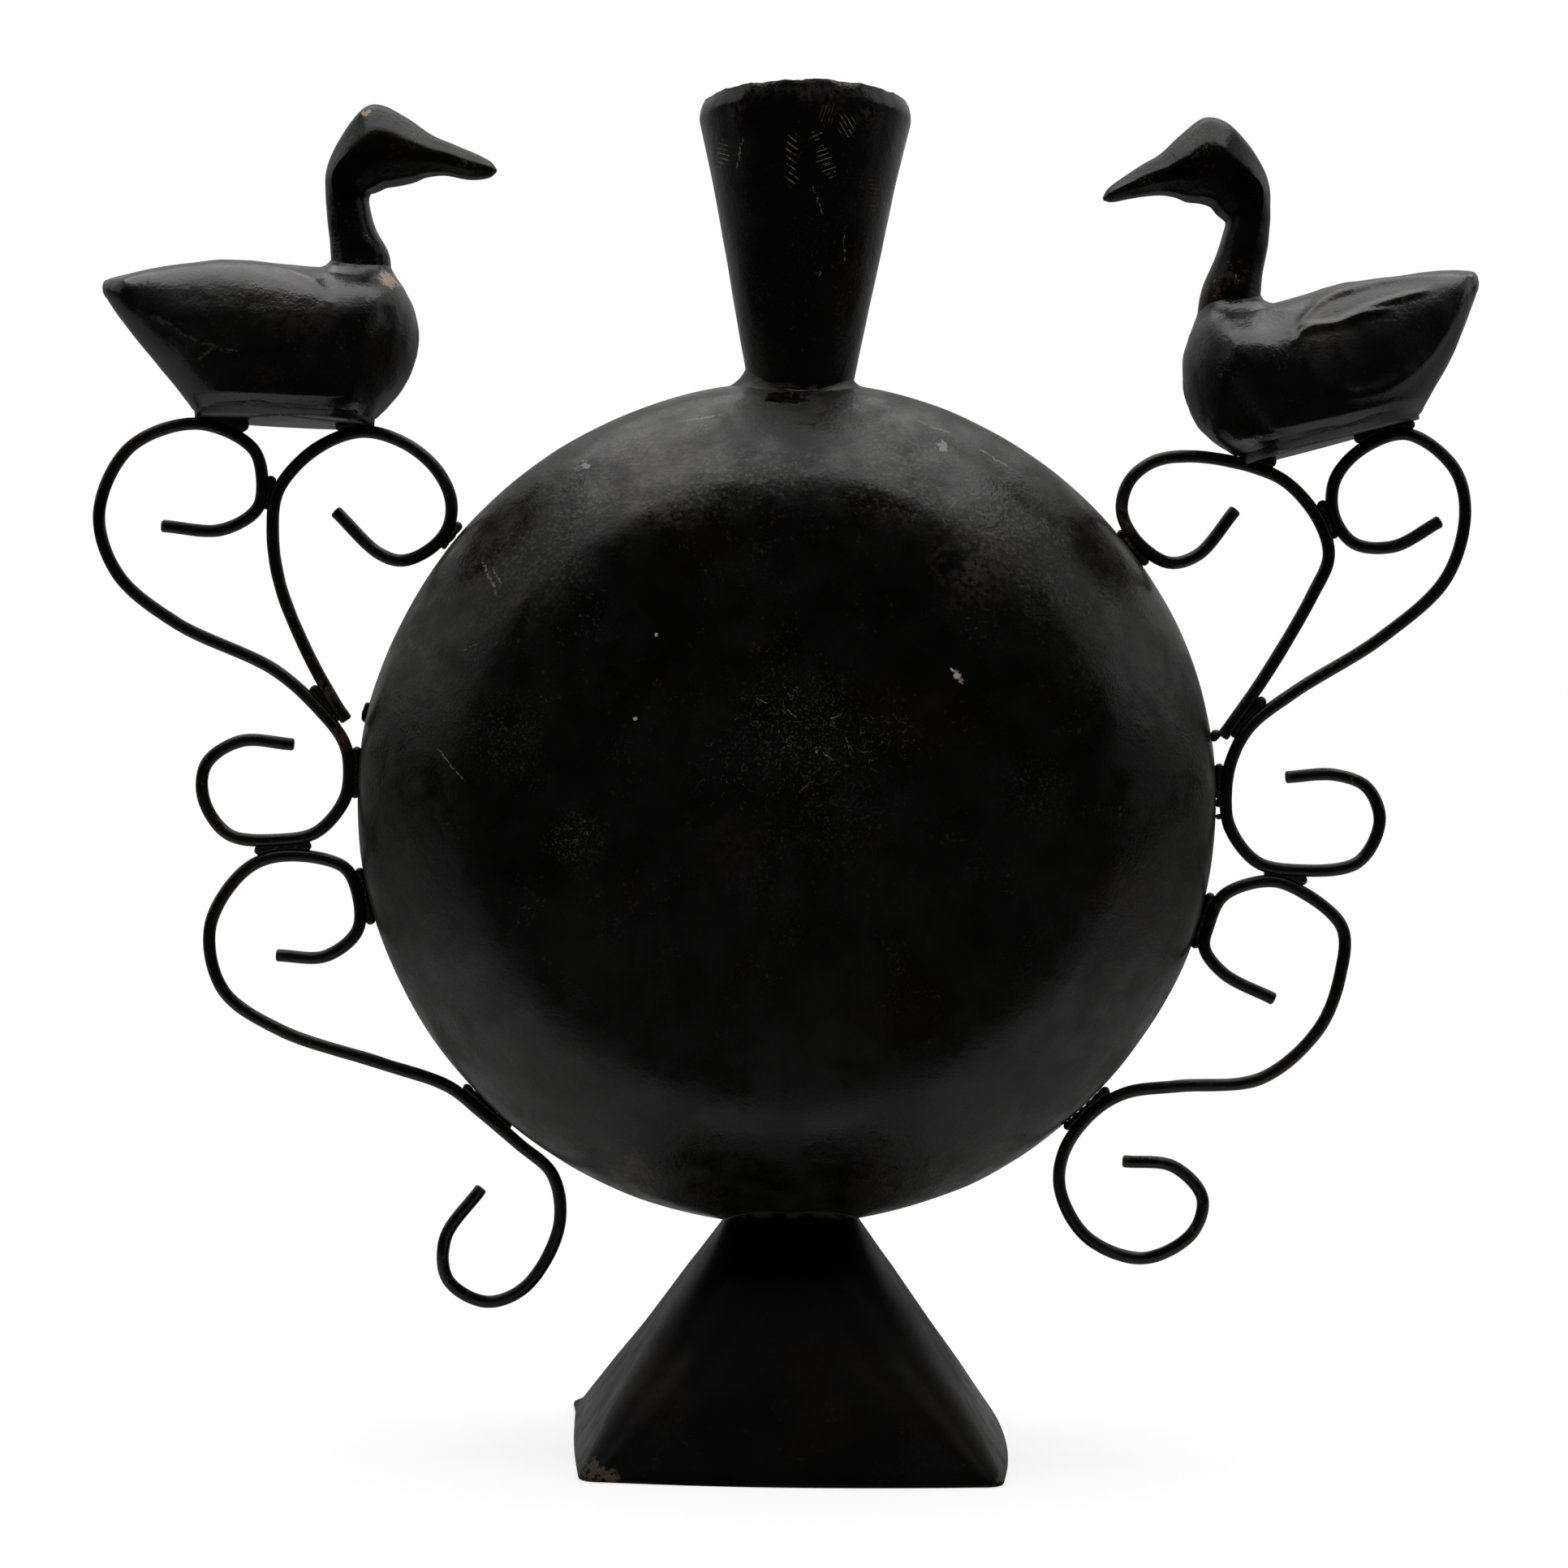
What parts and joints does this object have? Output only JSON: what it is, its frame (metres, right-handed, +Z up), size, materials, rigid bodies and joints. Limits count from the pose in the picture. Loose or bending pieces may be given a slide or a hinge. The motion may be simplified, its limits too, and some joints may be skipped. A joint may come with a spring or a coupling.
{
  "type": "metal vase",
  "caption": "Free-standing black painted steel flower vase: flat round hollow body with a flared neck on a square tapered foot, flanked by welded rod scrolls that carry hollow ducks.",
  "frame": {"origin": "on the floor, under the middle of the round body", "axes": "+Z up, +X to the right of someone who looks at the front, front faces -Y"},
  "size_m": [0.3538, 0.1083, 0.3423],
  "materials": {
    "body_paint": "worn satin black paint with scratches and small chips",
    "neck_paint": "worn satin black paint with short scratches and rust at the rim",
    "foot_paint": "worn satin black paint, rubbed to bare metal at one lower corner",
    "rod_paint": "satin black paint with rust specks",
    "weld_metal": "lumpy weld metal under thin black paint, browned by rust",
    "duck_paint": "worn satin charcoal paint with rust and chips"
  },
  "bodies": {
    "root": {"body_front_shell": "body_paint", "body_rear_shell": "body_paint", "neck_tube": "neck_paint", "neck_weld": "weld_metal", "foot_shell": "foot_paint", "foot_weld": "weld_metal", "left_broken_weld": "weld_metal", "left_duck_front_shell": "duck_paint", "left_duck_rear_shell": "duck_paint", "left_duck_base_plate": "duck_paint", "left_duck_neck_and_head": "duck_paint", "left_duck_neck_weld": "weld_metal", "right_duck_front_shell": "duck_paint", "right_duck_rear_shell": "duck_paint", "right_duck_base_plate": "duck_paint", "right_duck_neck_and_head": "duck_paint", "right_duck_neck_weld": "weld_metal", "left_upper_scroll": "rod_paint", "left_inner_scroll": "rod_paint", "left_lower_scroll": "rod_paint", "right_upper_scroll": "rod_paint", "right_inner_scroll": "rod_paint", "right_lower_scroll": "rod_paint", "left_heart_weld": "weld_metal", "left_fork_weld": "weld_metal", "left_meeting_weld": "weld_metal", "left_duck_rear_weld": "weld_metal", "left_duck_front_weld": "weld_metal", "left_inner_rim_weld": "weld_metal", "left_upper_rim_weld": "weld_metal", "left_lower_rim_weld": "weld_metal", "left_low_rim_weld": "weld_metal", "right_heart_weld": "weld_metal", "right_fork_weld": "weld_metal", "right_meeting_weld": "weld_metal", "right_duck_rear_weld": "weld_metal", "right_duck_front_weld": "weld_metal", "right_inner_rim_weld": "weld_metal", "right_inner_end_weld": "weld_metal", "right_upper_rim_weld": "weld_metal", "right_lower_rim_weld": "weld_metal", "right_low_rim_weld": "weld_metal"}
  },
  "joints": []
}
